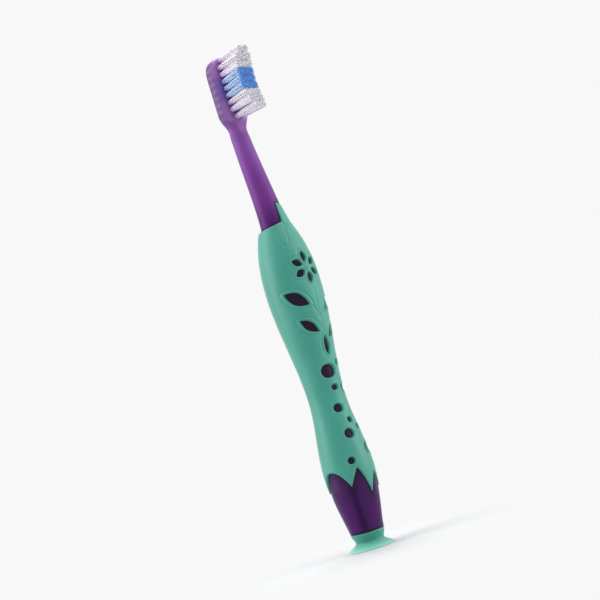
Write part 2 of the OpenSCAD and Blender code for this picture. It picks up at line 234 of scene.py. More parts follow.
def mouldedPolypropylene():
    # Translucent injection-moulded polypropylene, polished mould: deep violet with soft wide highlights.
    # Where rubber covers it no light comes through, and that shade is painted into its colour, as is
    # shade beside the rubber's edges, in the tail's creases and on the head's side; light is painted round
    # the tufts' holes, and the tufts in their holes show through the sides of the head as painted bands.
    p, t = plasticSet, tuftSet
    material, tree = newMaterial("polypropyleneTranslucentMoulded")
    coordinates = addNode(tree, "ShaderNodeTexCoord")
    parts = addNode(tree, "ShaderNodeSeparateXYZ", links={"Vector": coordinates.outputs["Object"]})
    x, y, z = (parts.outputs[k] for k in "XYZ")
    height = maths(tree, "DIVIDE", z, p["tallest"] * mm)
    # painted shade: the core under the sleeve is coloured dark, so the windows show it dark
    body = rampOf(tree, height, [(h / p["tallest"], code) for h, code in p["heights"]])
    roots = rampOf(tree, height, [(h / p["tallest"], code) for h, code in p["roots"]])
    firstRow = (toeZ - t["toeMargin"]) * mm
    lastRow = firstRow - (len(t["counts"]) - 1) * t["rowPitch"] * mm
    side = ranged(tree, maths(tree, "ABSOLUTE", x, 0.0), *(d * mm for d in p["sideZone"]))
    head = ranged(tree, z, *(lastRow - d * mm for d in p["headZone"]))
    perRow = 2 * math.pi / (t["rowPitch"] * mm)
    turns = maths(tree, "MULTIPLY", maths(tree, "SUBTRACT", z, firstRow), perRow)
    row = ranged(tree, maths(tree, "COSINE", turns, 0.0), -p["bandEdge"], p["bandEdge"])
    rootZone = ranged(tree, y, *((t["faceY"] + d) * mm for d in p["rootZone"]), high=p["rootShare"])
    bandZone = ranged(tree, y, *((t["faceY"] + d) * mm for d in p["bandZone"]), high=p["bandShare"])
    band = maths(tree, "MULTIPLY", maths(tree, "MULTIPLY", row, side), bandZone)
    # painted shade: the head's side is darker where the side lamp lights it
    body = mixed(tree, maths(tree, "MULTIPLY", head, side), body, p["side"])
    # painted light round the tufts' holes, with the blue tufts' painted show-through
    body = mixed(tree, maths(tree, "MULTIPLY", head, rootZone), body, roots)
    # painted light: bands where the rows of tufts show through the head's side
    body = mixed(tree, maths(tree, "MULTIPLY", head, band), body, p["band"])
    # painted shade in the tail's creases
    creases = addNode(tree, "ShaderNodeAttribute", {"attribute_name": "creaseShadeShare"})
    body = mixed(tree, creases.outputs["Fac"], body, p["crease"])
    # painted shade beside the rubber's edges and above the foot's collar
    rims = addNode(tree, "ShaderNodeAttribute", {"attribute_name": "rimShare"})
    body = mixed(tree, rims.outputs["Fac"], body, p["rim"])
    cloud = addNode(tree, "ShaderNodeMapRange", {"To Min": 0.9, "To Max": 1.1},
                    {"Value": grain(tree, 7.0, detail=3.0)})
    tinted = addNode(tree, "ShaderNodeVectorMath", {"operation": "SCALE"},
                     {0: body, "Scale": cloud.outputs["Result"]})
    ripple = grain(tree, 1.6, stretch=(1, 1, 0.25))
    rough = addNode(tree, "ShaderNodeMapRange", {"To Min": 0.24, "To Max": 0.38}, {"Value": ripple})
    bumpWide = addNode(tree, "ShaderNodeBump", {"Strength": 0.12, "Distance": 0.00012}, {"Height": ripple})
    bumpFine = addNode(tree, "ShaderNodeBump", {"Strength": 0.10, "Distance": 0.00001},
                       {"Height": grain(tree, 0.12, detail=1.0), "Normal": bumpWide.outputs["Normal"]})
    plastic = addNode(tree, "ShaderNodeBsdfPrincipled", {
        "IOR": 1.49, "Specular IOR Level": 0.15, "Subsurface Weight": 0.3, "Subsurface Scale": 0.0012,
        "Subsurface Radius": (0.9, 0.25, 1.0),
    }, {"Base Color": tinted.outputs["Vector"], "Roughness": rough.outputs["Result"],
        "Normal": bumpFine.outputs["Normal"]})
    through = addNode(tree, "ShaderNodeBsdfTransparent", {"Color": fromHex(p["clear"])})
    blend = addNode(tree, "ShaderNodeMixShader", {0: p["seeThrough"]},
                    {1: plastic.outputs["BSDF"], 2: through.outputs["BSDF"]})
    addNode(tree, "ShaderNodeOutputMaterial", links={"Surface": blend.outputs["Shader"]})
    return material


def softTouchRubber(name, bright, dim, paintedLight=None, lightBelow=0):
    # Overmoulded thermoplastic rubber, mould eroded by spark: matte, with a faint satin edge. Where a
    # part gets thin towards the floor, below the given height, light is painted in and the colour turns
    # paler.
    material, tree = newMaterial(name)
    cloud = grain(tree, 12.0, detail=4.0)
    colour = rampOf(tree, cloud, [(0.3, dim), (0.7, bright)])
    if paintedLight:
        coordinates = addNode(tree, "ShaderNodeTexCoord")
        parts = addNode(tree, "ShaderNodeSeparateXYZ", links={"Vector": coordinates.outputs["Object"]})
        # painted light: paler towards the floor
        colour = mixed(tree, ranged(tree, parts.outputs["Z"], lightBelow * mm, 0.0), colour, paintedLight)
    pits = grain(tree, 0.16, detail=2.0)
    rough = addNode(tree, "ShaderNodeMapRange", {"To Min": 0.38, "To Max": 0.5}, {"Value": cloud})
    bump = addNode(tree, "ShaderNodeBump", {"Strength": 0.22, "Distance": 0.00002}, {"Height": pits})
    rubber = addNode(tree, "ShaderNodeBsdfPrincipled", {
        "IOR": 1.5, "Subsurface Weight": 0.12, "Subsurface Scale": 0.0006,
        "Subsurface Radius": (0.4, 1.0, 0.8), "Sheen Weight": 0.3, "Sheen Roughness": 0.35,
    }, {"Base Color": colour, "Roughness": rough.outputs["Result"], "Normal": bump.outputs["Normal"]})
    addNode(tree, "ShaderNodeOutputMaterial", links={"Surface": rubber.outputs["BSDF"]})
    return material


def nylonFilament(name, stops):
    # Drawn nylon monofilament, slightly clear: painted shade and a painted reflection of the violet head
    # at its root, pale along the shank, and deeper at the trimmed end, where painted shade and the colour
    # seen through the filament's length are painted in. The clumps are drawn as coarse as a tuft's streaks.
    material, tree = newMaterial(name)
    along = addNode(tree, "ShaderNodeAttribute", {"attribute_name": "lengthShare"})
    colour = rampOf(tree, along.outputs["Fac"], stops)
    strand = grain(tree, 0.2, detail=1.0, stretch=(1, 0.02, 1))
    clump = grain(tree, 1.1, detail=2.0, stretch=(1, 0.05, 1))
    both = maths(tree, "MULTIPLY", maths(tree, "ADD", strand, clump), 0.5)
    tone = addNode(tree, "ShaderNodeMapRange", {
        "From Min": 0.3, "From Max": 0.7, "To Min": 0.88, "To Max": 1.1}, {"Value": both})
    tinted = addNode(tree, "ShaderNodeVectorMath", {"operation": "SCALE"},
                     {0: colour, "Scale": tone.outputs["Result"]})
    nylon = addNode(tree, "ShaderNodeBsdfPrincipled", {
        "IOR": 1.53, "Roughness": 0.34, "Subsurface Weight": 0.4, "Subsurface Scale": 0.0005,
        "Subsurface Radius": (1.0, 1.0, 1.0),
    }, {"Base Color": tinted.outputs["Vector"]})
    addNode(tree, "ShaderNodeOutputMaterial", links={"Surface": nylon.outputs["BSDF"]})
    return material


def stampedBrass():
    # Brass strip cut by a stamping tool: yellowish metal with fine scratches along the strip
    material, tree = newMaterial("brassStamped")
    scratch = grain(tree, 0.08, detail=3.0, stretch=(1, 1, 0.1))
    colour = rampOf(tree, scratch, [(0.3, "B99A5B"), (0.7, "DCC07C")])
    rough = addNode(tree, "ShaderNodeMapRange", {"To Min": 0.25, "To Max": 0.45}, {"Value": scratch})
    brass = addNode(tree, "ShaderNodeBsdfPrincipled", {"Metallic": 1.0},
                    {"Base Color": colour, "Roughness": rough.outputs["Result"]})
    addNode(tree, "ShaderNodeOutputMaterial", links={"Surface": brass.outputs["BSDF"]})
    return material


bodySet = dict(
    sleeveTop=101.8, neckLength=32.8, headLength=23.4,
    headWidth=9.8, headThick=4.6, headBack=3.3, edgeRadius=1.5,
    neckWidth=6.0, neckBase=8.7, footHeight=5.1, collar=10.5,
    wall=0.8, edgeThin=0.6, swell=15.9, waist=11.6, belly=17.6,
    swellShare=0.235, waistShare=0.46, bellyShare=0.8,
    tailPower=1.4, shoulderPower=2.4, neckPower=0.75, neckEase=0.5,
    heelBlend=4.0, plateLead=0.5, plateGrow=6.0, toeLength=6.5, toePower=2.5, toeRound=0.5,
    # the pin in the foot, with steps of [height, radius] round its lower corner and the core's edge
    pinRadius=2.0, pinHead=2.9, pinHeadHeight=0.9, pinNeck=0.45, pinBottom=2.3, pinTip=0.02,
    pinSteps=[(0, -0.45), (0.2, -0.12), (0.45, 0)], coreSteps=[(0, -0.15), (0.05, -0.04)],
    # creases that run down the tail from two points of the sleeve, with painted shade in them: how far
    # below the point they and their painted shade set in, how high over the foot they fade, and how far
    # above the swell none is left
    creases=(47, 313), creaseDepth=0.4, creaseWidth=0.7, creaseStart=(0.2, 3.5), creaseEnd=(0.3, 2.5),
    creaseMargin=3, shadeWidth=1.2, shadeStart=(-1, 1),
    # the painted shade on the plastic along the rubber's edges: its width, how dark it is, and how it
    # spreads below the arches
    rimWidth=0.7, rimReach=3, rimShare=1.0, archWidth=2.4, archPower=0.8, archReach=11, edgeStep=2,
    # rows and columns of the skin, and the rounded tip of the head
    around=144, headRows=118, neckRows=80, gripRows=60, tailRows=60, tailStart=0.2,
    tipLength=2.5, tipRows=22, tipGap=0.0005,
)
heelZ = bodySet["sleeveTop"] + bodySet["neckLength"]
toeZ = heelZ + bodySet["headLength"]
tailZ = bodySet["footHeight"]
swellZ, waistZ, bellyZ = (
    bodySet["sleeveTop"] * bodySet[k] for k in ("swellShare", "waistShare", "bellyShare"))


def neckRadius(z):
    t = clamp(span(z, bodySet["sleeveTop"], heelZ - bodySet["heelBlend"]))
    return mix(bodySet["neckBase"] / 2, bodySet["neckWidth"] / 2, t ** bodySet["neckPower"])


def neckBack(z):
    t = clamp(span(z, bodySet["sleeveTop"], heelZ))
    return bodySet["headBack"] * mix(t, smooth(t), bodySet["neckEase"])


def wallAt(z):
    # The sleeve's wall, thinner where its lower edge lies nearly flush with the tail
    b = bodySet
    point = b["sleeveTop"] * sleeveSet["frontPoint"]
    return b["wall"] * (1 - b["edgeThin"] * smooth(span(z, tailZ, point)) * smooth(span(z, swellZ, point)))


def coreRadius(z):
    # Radius of the core along the grip and tail, up to the neck
    z = np.asarray(z, float)
    b = bodySet
    tail = clamp(span(z, tailZ, swellZ))
    low = mix(b["collar"] / 2 + b["wall"], b["swell"] / 2, 1 - (1 - tail) ** b["tailPower"]) - wallAt(z)
    middle = mix(b["swell"] / 2, b["waist"] / 2, smooth(span(z, swellZ, waistZ))) - b["wall"]
    upper = mix(b["waist"] / 2, b["belly"] / 2, smooth(span(z, waistZ, bellyZ))) - b["wall"]
    shoulder = mix(b["belly"] / 2 - b["wall"], b["neckBase"] / 2,
                   clamp(span(z, bellyZ, b["sleeveTop"])) ** b["shoulderPower"])
    return np.select([z <= swellZ, z <= waistZ, z <= bellyZ, z <= b["sleeveTop"]],
                     [low, middle, upper, shoulder], neckRadius(z))


def plateSection(z):
    # Half width, front and back of the neck and head, and the radius of their corners
    b = bodySet
    half = b["headThick"] / 2
    toe = clamp(span(z, toeZ - b["toeLength"], toeZ))
    end = clamp(span(z, toeZ - half, toeZ))
    narrow = (1 - toe ** b["toePower"]) ** (1 / b["toePower"])
    endRound = 1 - math.sqrt(max(0, 1 - end ** 2))
    widen = smooth(span(z, heelZ - b["plateLead"], heelZ - b["plateLead"] + b["plateGrow"]))
    intoPlate = smooth(span(z, heelZ - b["heelBlend"], heelZ))
    halfWidth = mix(neckRadius(z), b["headWidth"] / 2, widen) * narrow
    front = mix(neckBack(z) - neckRadius(z), b["headBack"] - half, intoPlate) + b["toeRound"] * endRound
    back = mix(neckBack(z) + neckRadius(z), b["headBack"] + half, intoPlate) - half * endRound
    flatten = smooth(span(z, heelZ - b["heelBlend"], heelZ + b["heelBlend"]))
    corner = mix(halfWidth, b["edgeRadius"], flatten)
    return halfWidth, front, back, min(corner, halfWidth, (back - front) / 2)


def roundedRing(halfWidth, front, back, corner, count):
    # Points at equal steps along a rectangle with round corners, from the middle of its front towards +X
    middle, halfDepth = (front + back) / 2, (back - front) / 2
    flatX, flatY, arc = halfWidth - corner, halfDepth - corner, math.pi / 2 * corner
    whole = 4 * (flatX + flatY + arc)
    points = []
    for i in range(count):
        s = whole * i / count
        side = 1 if s <= whole / 2 else -1
        s = s if side == 1 else whole - s
        if s < flatX:
            x, y = s, -halfDepth
        elif s < flatX + arc:
            a = (s - flatX) / corner
            x, y = flatX + corner * math.sin(a), -flatY - corner * math.cos(a)
        elif s < flatX + arc + 2 * flatY:
            x, y = halfWidth, -flatY + s - flatX - arc
        elif s < flatX + 2 * arc + 2 * flatY:
            a = (s - flatX - arc - 2 * flatY) / corner
            x, y = flatX + corner * math.cos(a), flatY + corner * math.sin(a)
        else:
            x, y = whole / 2 - s, halfDepth
        points.append((side * x, middle + y))
    return points


def nearestOn(points, a, b):
    # Distance from each point to the nearest of the stretches from a to b, and the nearest place on it
    ab = b - a
    t = np.clip(((points[:, None] - a) * ab).sum(2) / (ab * ab).sum(1), 0, 1)
    near = a + t[..., None] * ab
    distance = np.linalg.norm(points[:, None] - near, axis=2)
    k = distance.argmin(1)
    rows = np.arange(len(points))
    return distance[rows, k], near[rows, k]


def outlineDistance(points, outline):
    # Signed distance to a closed outline, negative inside it, and the nearest point on it
    a = np.asarray(outline, float)
    b = np.roll(a, -1, axis=0)
    ab = b - a
    distance, near = nearestOn(points, a, b)
    crosses = (a[None, :, 1] > points[:, 1:2]) != (b[None, :, 1] > points[:, 1:2])
    with np.errstate(divide="ignore", invalid="ignore"):
        at = a[None, :, 0] + (points[:, 1:2] - a[None, :, 1]) / ab[None, :, 1] * ab[None, :, 0]
    inside = (crosses & (points[:, 0:1] < at)).sum(1) % 2 == 1
    return np.where(inside, -1, 1) * distance, near


def cutOutlines(bm, number, flat, cuts):
    # flat holds each vertex's place on the unrolled skin; each cut is an outline with its reach and the
    # functions that take places on the skin to the outline's own plane and back. Vertices move onto the
    # outline, and what lies inside it is removed. Returns the signed distance to the nearest outline.
    edges = np.array([[v[number] for v in e.verts] for e in bm.edges])
    nearest = np.full(len(flat), farAway)
    sides = np.ones(len(flat), int)
    for outline, reach, toPlane, fromPlane in cuts:
        plane, close = toPlane(flat, reach)
        if not len(close):
            continue
        distance, onto = outlineDistance(plane, outline)
        full = np.full(len(flat), farAway)
        full[close] = distance
        a, b = full[edges[:, 0]], full[edges[:, 1]]
        crossing = edges[(a * b < 0) & (np.abs(a) < farAway) & (np.abs(b) < farAway)]
        first = np.abs(full[crossing[:, 0]]) < np.abs(full[crossing[:, 1]])
        moved = np.unique(np.where(first, crossing[:, 0], crossing[:, 1]))
        place = np.full(len(flat), -1)
        place[close] = np.arange(len(close))
        flat[moved] = fromPlane(onto[place[moved]], flat[moved])
        full[moved] = 0
        sides[close] = np.minimum(sides[close], np.sign(full[close]).astype(int))
        sides[moved] = np.where(sides[moved] < 0, sides[moved], 0)
        nearest = np.where(np.abs(full) < np.abs(nearest), full, nearest)
    split = set()
    for face in bm.faces:
        s = [sides[v[number]] for v in face.verts]
        if min(s) < 0 < max(s):
            split.update(v for v in face.verts if sides[v[number]] == 0)
    bmesh.ops.connect_verts(bm, verts=sorted(split, key=lambda v: v[number]))
    doomed = [f for f in bm.faces if min(sides[v[number]] for v in f.verts) < 0]
    bmesh.ops.delete(bm, geom=doomed, context="FACES")
    return nearest


tuftSet = dict(
    counts=[2, 3, 3, 3, 3, 3, 3, 3, 2], spreads=[1, 0.97, 1, 1, 1, 1, 1, 0.95, 1], blueRows=(4, 5, 6),
    rowPitch=2.28, columnPitch=2.1, toeMargin=1.4, width=1.6, height=9.2, toeRise=1.7, heelRise=2.2,
    faceY=bodySet["headBack"] - bodySet["headThick"] / 2, faceGap=0.3,
    holeDepth=3.1, holeGap=0.02, holeReach=1.8,
    filaments=60, filamentWidth=0.19, sides=5,
    # width at shares of the length: thicker than real towards the end, where the bundle opens, and then
    # the rounded tip
    profile=[(0.27, 1), (0.5, 1.1), (0.75, 1.25), (0.985, 1.35), (0.996, 1.0), (1.0, 0.4)],
    # the filaments lie in a spiral of golden turns, and each has its own twist in radians
    rootGap=0.01, rootLift=0.1, goldenTurn=137.508, twist=6.28,
    flare=1.64, squareShare=0.55, stray=0.06, uneven=0.05, bend=1.7, seed=7,
)


def tuftPlaces():
    firstZ = toeZ - tuftSet["toeMargin"]
    for r, count in enumerate(tuftSet["counts"]):
        names = ("left", "right") if count == 2 else ("left", "middle", "right")
        for i in range(count):
            x = (i - (count - 1) / 2) * tuftSet["columnPitch"] * tuftSet["spreads"][r]
            yield r + 1, names[i], x, firstZ - r * tuftSet["rowPitch"]


def circleOutline(x, y, radius, count=40):
    return [(x + radius * math.cos(a), y + radius * math.sin(a)) for a in spread(0, 2 * math.pi, count)]


def creaseAt(angle, z, r):
    # Depth of the tail's creases, and how strong the painted shade in them is there
    b = bodySet
    depth, dark = 0, 0
    for tip in b["creases"]:
        low = float(lowEdge(tip))
        away = math.radians((angle - tip + 180) % 360 - 180) * r
        run = float(smooth(span(low - z, *b["creaseStart"])) * smooth(span(z - tailZ, *b["creaseEnd"])))
        creaseShade = float(smooth(span(low - z, *b["shadeStart"])))
        depth = max(depth, b["creaseDepth"] * run * math.exp(-(away / b["creaseWidth"]) ** 2))
        dark = max(dark, creaseShade * math.exp(-(away / b["shadeWidth"]) ** 2))
    return depth, dark


def edgeLine(edge, step=1):
    # One of the sleeve's edges, all the way round, as a line of [angle, height]
    return [(a, edge(a)) for a in range(-180, 181, step)]


def rimShade(flat):
    # Painted shade on the plastic beside the rubber's edges and above the foot's collar, where no light
    # comes out of it
    b = bodySet
    z = flat[:, 2]
    places = np.column_stack([np.degrees(np.arctan2(flat[:, 0], neckBack(z) - flat[:, 1])), z])
    arches = lineDistance(places, edgeLine(lowEdge, b["edgeStep"]), b["archReach"])
    top = lineDistance(places, edgeLine(highEdge, b["edgeStep"]), b["rimReach"] * b["rimWidth"])
    return b["rimShare"] * np.maximum.reduce([
        np.exp(-((z - tailZ) / b["rimWidth"]) ** 2), np.exp(-(top / b["rimWidth"]) ** 2),
        np.exp(-(arches / b["archWidth"]) ** b["archPower"])])


def bodyRings():
    # Every ring of the skin as [height, points], from the pin in the foot up to the tip of the head
    b = bodySet
    headTop = b["pinBottom"] + b["pinHeadHeight"]
    pin = [(b["pinBottom"], b["pinTip"]), *stepped(b["pinBottom"], b["pinHead"], b["pinSteps"]),
           (headTop, b["pinHead"]), (headTop + b["pinNeck"], b["pinRadius"]), (tailZ, b["pinRadius"]),
           *stepped(tailZ, b["collar"] / 2, b["coreSteps"])]
    heights = spread(tailZ + b["tailStart"], swellZ, b["tailRows"])
    heights += spread(swellZ, b["sleeveTop"], b["gripRows"])
    rings = []
    for z, r in pin + [(z, float(coreRadius(z))) for z in heights]:
        ring = []
        for turn in spread(0, 360, b["around"]):
            inner = r - (creaseAt(turn, z, r)[0] if tailZ < z < swellZ else 0)
            ring.append((inner * math.sin(math.radians(turn)), -inner * math.cos(math.radians(turn))))
        rings.append((z, ring))
    headStart, tipStart = heelZ - b["heelBlend"], toeZ - b["tipLength"]
    heights = spread(b["sleeveTop"], headStart, b["neckRows"])
    heights += spread(headStart, tipStart, b["headRows"])
    heights += [tipStart + b["tipLength"] * math.sin(math.pi / 2 * i / b["tipRows"])
                for i in range(b["tipRows"])]
    heights.append(toeZ - b["tipGap"])
    return rings + [(z, roundedRing(*plateSection(z), b["around"])) for z in heights]


def holeCut(x, z):
    # A tuft's hole in the flat face of the head
    t = tuftSet

    def toPlane(places, reach):
        onFace = np.abs(places[:, 1] - t["faceY"]) < t["faceGap"]
        close = np.nonzero(onFace & (np.hypot(places[:, 0] - x, places[:, 2] - z) < reach))[0]
        return places[close][:, [0, 2]], close

    def fromPlane(plane, places):
        return np.column_stack([plane[:, 0], places[:, 1], plane[:, 1]])
    return circleOutline(x, z, t["width"] / 2 + t["holeGap"]), t["holeReach"], toPlane, fromPlane


def makeHandleBody(material):
    b = bodySet
    rings = bodyRings()
    bm, number, cells = gridNumbered(b["around"], len(rings) - 1)
    for v in bm.verts:
        i, j = cells[v[number]]
        z, ring = rings[j]
        v.co = (*ring[i % b["around"]], z)
    closeSeam(bm, gap=0.002)
    # The pin's end and the head's tip close here, so that only the tuft holes are open further down
    bmesh.ops.holes_fill(bm, edges=openEdges(bm), sides=0)
    numbered(bm)
    # painted shade, kept at each vertex: in the tail's creases and beside the rubber's edges
    creaseShadeShare = bm.verts.layers.float.new("creaseShadeShare")
    rimShare = bm.verts.layers.float.new("rimShare")
    flat = np.array([v.co for v in bm.verts], float)
    shades = rimShade(flat)
    for v in bm.verts:
        x, y, z = v.co
        v[rimShare] = shades[v[number]]
        if z < swellZ + b["creaseMargin"]:
            angle = math.degrees(math.atan2(x, -y)) % 360
            v[creaseShadeShare] = creaseAt(angle, z, math.hypot(x, y))[1]
    cutOutlines(bm, number, flat, [holeCut(x, z) for row, name, x, z in tuftPlaces()])
    for v in bm.verts:
        v.co = flat[v[number]]
    for v in pulledWalls(bm):
        v.co.y = tuftSet["faceY"] + tuftSet["holeDepth"]
    bmesh.ops.holes_fill(bm, edges=openEdges(bm), sides=0)
    bmesh.ops.recalc_face_normals(bm, faces=bm.faces)
    piece = makePiece("handle_body", bm, material, ["handle_core"])
    print("handle body:", len(piece.data.polygons), "faces")


sleeveSet = dict(
    frontPoint=0.16, arch=8.6, slant=1.5, slantShare=0.63, slantAngle=135,
    tongue=6.2, tongueAngles=(-8, 0, 52, 112), tongueThin=0.75,
    # points of the lower edge: angle and height share, then the top and the power of the arch after each
    edges=[(0, 0, 0.67, 1.35), (47, 0.1, 0.9, 2.2), (130, 0.3, 0.85, 2.2), (230, 0.27, 1, 2.2),
           (313, 0.37, 0.95, 1.35), (360, 0, 0, 1)],
    # round windows: height share, angle, size, and width as a share of height
    spotHeight=4.1,
    spots=[(0.535, -14, 1, 1.2), (0.556, 32, 0.42, 1.5), (0.484, -8, 0.42, 1.3), (0.477, 38, 0.71, 1.45),
           (0.422, -18, 0.63, 1.2), (0.380, 6, 0.37, 1.3), (0.355, 32, 0.42, 1.5), (0.342, -13, 0.68, 1.15),
           (0.287, 36, 0.92, 1.35), (0.264, -31, 0.51, 1.1)],
    # leaves: height share, angle, turn, and shares of the length and width
    leafLength=8.4, leafWidth=3.8, leafPower=0.85,
    leaves=[(0.762, -43, -34, 1, 1), (0.735, 40, 34, 0.85, 0.9), (0.676, -32, -40, 0.8, 0.75),
            (0.652, 32, 44, 0.7, 0.7), (0.611, 0, 90, 0.72, 0.5)],
    blossom=0.85, petals=6, petalLength=3.3, petalWidth=2.1, petalRing=3.3,
    cutAngle=75, cutMargin=1.6, edgeRound=0.34, edgeReach=0.6, edgeFade=1.2, sink=0.15,
    frontColumns=150, backColumns=56, rows=440, frontReach=72,
    # engraved stems as lines of [angle, height share], and petals at the top
    stems=[[(0, 0.648), (2, 0.68), (-1.5, 0.72), (1, 0.765), (0, 0.797)],
           [(0.5, 0.69), (-12, 0.726), (-20, 0.738)], [(1, 0.685), (12, 0.705), (20, 0.714)],
           [(0, 0.644), (-13, 0.655)], [(6, 0.622), (16, 0.631)]],
    topPetals=[-29, 0, 29], petalTurn=13, petalDrop=6.2, petalStart=1.5, petalPower=0.8, petalSweep=1.5,
    petalPoints=15,
    # depth and half width of the lines, which keep clear of the windows, and the frame round leaves
    # and blossom
    groove=0.13, grooveWidth=0.26, lineClear=0.7, lineReach=1.0, frame=1.0, frameFrom=0.575,
    lip=0.07, lipAt=0.5, lipWidth=0.2, heart=1.15, heartRise=0.28, heartReach=2.0,
)


def lowEdge(angle):
    e = sleeveSet["edges"]
    a = angle % 360
    k = next(i for i in range(len(e) - 1) if a <= e[i + 1][0])
    p, q = e[k], e[k + 1]
    t = span(a, p[0], q[0])
    base = mix(p[1], q[1], t)
    share = base + (p[2] - base) * (1 - abs(2 * t - 1) ** p[3])
    return bodySet["sleeveTop"] * sleeveSet["frontPoint"] + sleeveSet["arch"] * share


def highEdge(angle):
    # Rises towards the front and then up into the tongue, which goes from the front round to one side
    s = sleeveSet
    a = (angle + 180) % 360 - 180
    rise = (1 - clamp(abs(a) / s["slantAngle"])) ** 2 - s["slantShare"]
    start, full, fall, end = s["tongueAngles"]
    up = min(clamp(span(a, start, full)), smooth(span(a, end, fall)))
    return bodySet["sleeveTop"] + s["slant"] * rise + s["tongue"] * up


def spotOutline(size, wide):
    # A round window with its halves slid apart, because it has to look round where the sleeve turns away
    radius = sleeveSet["spotHeight"] / 2 * size
    return [(x + math.copysign(radius * (wide - 1), x), y) for x, y in circleOutline(0, 0, radius)]


def leafOutline(length, width, count=22):
    power = sleeveSet["leafPower"]
    side = [(length * (i / count - 0.5), width / 2 * math.sin(math.pi * i / count) ** power)
            for i in range(count + 1)]
    return side + [(x, -y) for x, y in side[-2:0:-1]]


def placed(outline, turn, shift=(0, 0)):
    # An outline slid along X and then turned about its plane's origin, in degrees
    c, s = math.cos(math.radians(turn)), math.sin(math.radians(turn))
    slid = [(x + shift[0], y + shift[1]) for x, y in outline]
    return [(x * c - y * s, x * s + y * c) for x, y in slid]


def sleeveCut(outline, angle, share):
    # flat holds [angle in degrees, height] on the sleeve; the plane is square to the angle's direction
    s, wall = sleeveSet, bodySet["wall"]
    height = share * bodySet["sleeveTop"]

    def toPlane(flat, reach):
        turn = (flat[:, 0] - angle + 180) % 360 - 180
        close = np.nonzero((np.abs(turn) < s["cutAngle"]) & (np.abs(flat[:, 1] - height) < reach))[0]
        across = (coreRadius(flat[close, 1]) + wall) * np.sin(np.radians(turn[close]))
        kept = np.abs(across) < reach
        return np.column_stack([across, flat[close, 1] - height])[kept], close[kept]

    def fromPlane(plane, flat):
        z = plane[:, 1] + height
        turn = np.degrees(np.arcsin(np.clip(plane[:, 0] / (coreRadius(z) + wall), -1, 1)))
        back = angle + turn
        return np.column_stack([back + 360 * np.round((flat[:, 0] - back) / 360), z])
    return outline, max(math.hypot(x, y) for x, y in outline) + s["cutMargin"], toPlane, fromPlane


def sleeveCuts():
    # Round windows along the grip, leaves over them, and the blossom's petals near the top
    s = sleeveSet
    cuts = [sleeveCut(spotOutline(size, wide), angle, share) for share, angle, size, wide in s["spots"]]
    for share, angle, turn, long, wide in s["leaves"]:
        leaf = leafOutline(s["leafLength"] * long, s["leafWidth"] * wide)
        cuts.append(sleeveCut(placed(leaf, turn), angle, share))
    petal = leafOutline(s["petalLength"], s["petalWidth"])
    for i in range(s["petals"]):
        turn = 90 + 360 * i / s["petals"]
        cuts.append(sleeveCut(placed(petal, turn, (s["petalRing"], 0)), 0, s["blossom"]))
    return cuts


def makeGripSleeve(material):
    s, b = sleeveSet, bodySet
    front = s["frontReach"]
    angles = spread(-front, front, s["frontColumns"])
    angles += spread(front, 360 - front, s["backColumns"]) + [360 - front]
    last = len(angles) - 1
    bm, number, cells = gridNumbered(last, s["rows"])
    flat = np.array([(angles[i], mix(lowEdge(angles[i]), highEdge(angles[i]), j / s["rows"]))
                     for i, j in cells])
    # the first and last columns lie at the same angle and become one
    firsts = {cells[v[number]][1]: v for v in bm.verts if cells[v[number]][0] == 0}
    lasts = {cells[v[number]][1]: v for v in bm.verts if cells[v[number]][0] == last}
    bmesh.ops.weld_verts(bm, targetmap={v: firsts[j] for j, v in lasts.items()})
    nearest = cutOutlines(bm, number, flat, sleeveCuts())
    tight = np.minimum(lineDistance(flat, edgeLine(lowEdge), s["edgeReach"]),
                       lineDistance(flat, edgeLine(highEdge), s["edgeReach"]))
    inside = np.minimum(np.maximum(nearest, 0), tight)
    k = np.clip(1 - inside / s["edgeRound"], 0, 1)
    wall = wallAt(flat[:, 1])
    rise = wall - s["edgeRound"] * wall / b["wall"] * (1 - np.sqrt(1 - k ** 2))
    rise += sleeveRelief(flat, nearest, tight)
    rise *= 1 - s["tongueThin"] * clamp(span(flat[:, 1], b["sleeveTop"], b["sleeveTop"] + s["tongue"]))
    for v in bm.verts:
        angle, z = flat[v[number]]
        turn, radius = math.radians(angle), float(coreRadius(z)) + rise[v[number]]
        v.co = Vector((radius * math.sin(turn), neckBack(z) - radius * math.cos(turn), z))
    # the walls end a little inside the core
    for v in pulledWalls(bm):
        centre = Vector((0, neckBack(v.co.z), v.co.z))
        outward = (v.co - centre).normalized()
        v.co = centre + outward * (float(coreRadius(v.co.z)) - s["sink"])
    closeSeam(bm)
    piece = makePiece("grip_skin", bm, material, ["grip_sleeve"])
    print("grip sleeve:", len(piece.data.polygons), "faces")


def onSleeve(places):
    # Places of [angle, height] as millimetres on the unrolled sleeve
    places = np.asarray(places, float)
    turn = np.radians((places[:, 0] + 180) % 360 - 180)
    return np.column_stack([turn * (coreRadius(places[:, 1]) + wallAt(places[:, 1])), places[:, 1]])


def lineDistance(flat, line, reach, batch=4000):
    # Distance on the unrolled sleeve to a line of [angle, height], worked out only within reach of it
    full = np.full(len(flat), farAway)
    line = np.array(line, float)
    line[line[:, 0] == 180, 0] -= 0.001  # or it would jump round to -180
    heights = line[:, 1]
    chosen = np.nonzero((flat[:, 1] > heights.min() - reach) & (flat[:, 1] < heights.max() + reach))[0]
    points, route = onSleeve(flat[chosen]), onSleeve(line)
    for part in np.array_split(np.arange(len(chosen)), max(1, len(chosen) // batch)):
        full[chosen[part]] = nearestOn(points[part], route[:-1], route[1:])[0]
    return full


